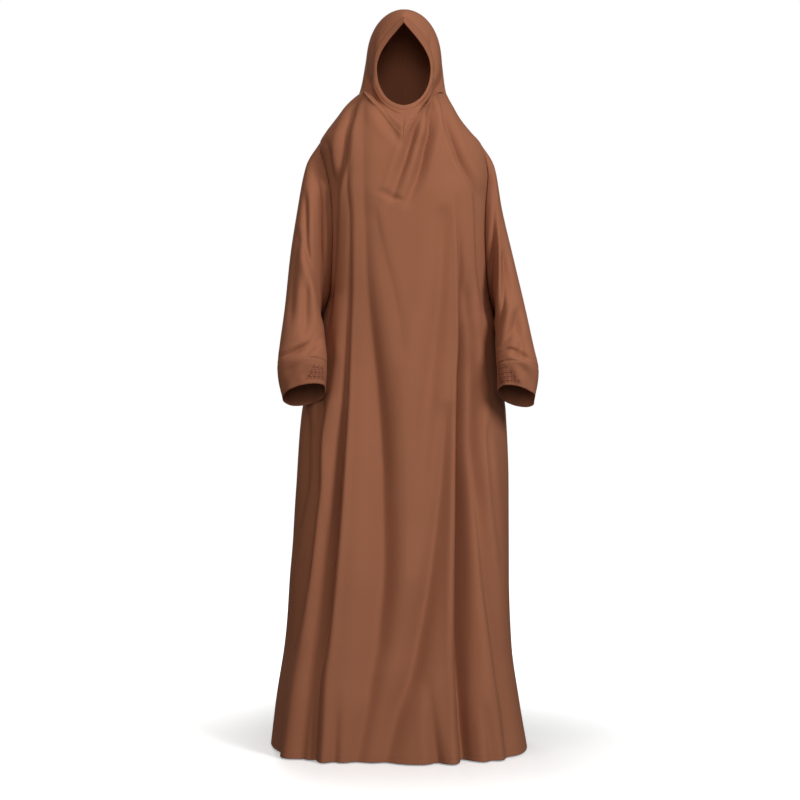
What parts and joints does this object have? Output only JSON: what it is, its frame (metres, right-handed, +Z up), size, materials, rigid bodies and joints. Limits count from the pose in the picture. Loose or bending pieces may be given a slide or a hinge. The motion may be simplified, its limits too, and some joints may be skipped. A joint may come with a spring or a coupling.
{
  "type": "jilbab",
  "caption": "Full-length hooded jilbab in its worn form, with a face band, a body that widens to the hem, dropped wide sleeves and deep cuffs.",
  "frame": {"origin": "inside the top of the hood's crown, where the wearer's head carries it", "axes": "+X to the right of the front view, -Y out of the front, +Z up"},
  "size_m": [0.616, 0.4784, 1.7048],
  "materials": {
    "cloth": "matt crepe",
    "embroidered_cloth": "matt crepe with tone-on-tone embroidery"
  },
  "bodies": {
    "root": {"front": "cloth", "back": "cloth", "hood_left": "cloth", "hood_right": "cloth", "face_band": "cloth", "sleeve_left": "cloth", "sleeve_right": "cloth", "cuff_left": "embroidered_cloth", "cuff_right": "embroidered_cloth"}
  },
  "joints": []
}
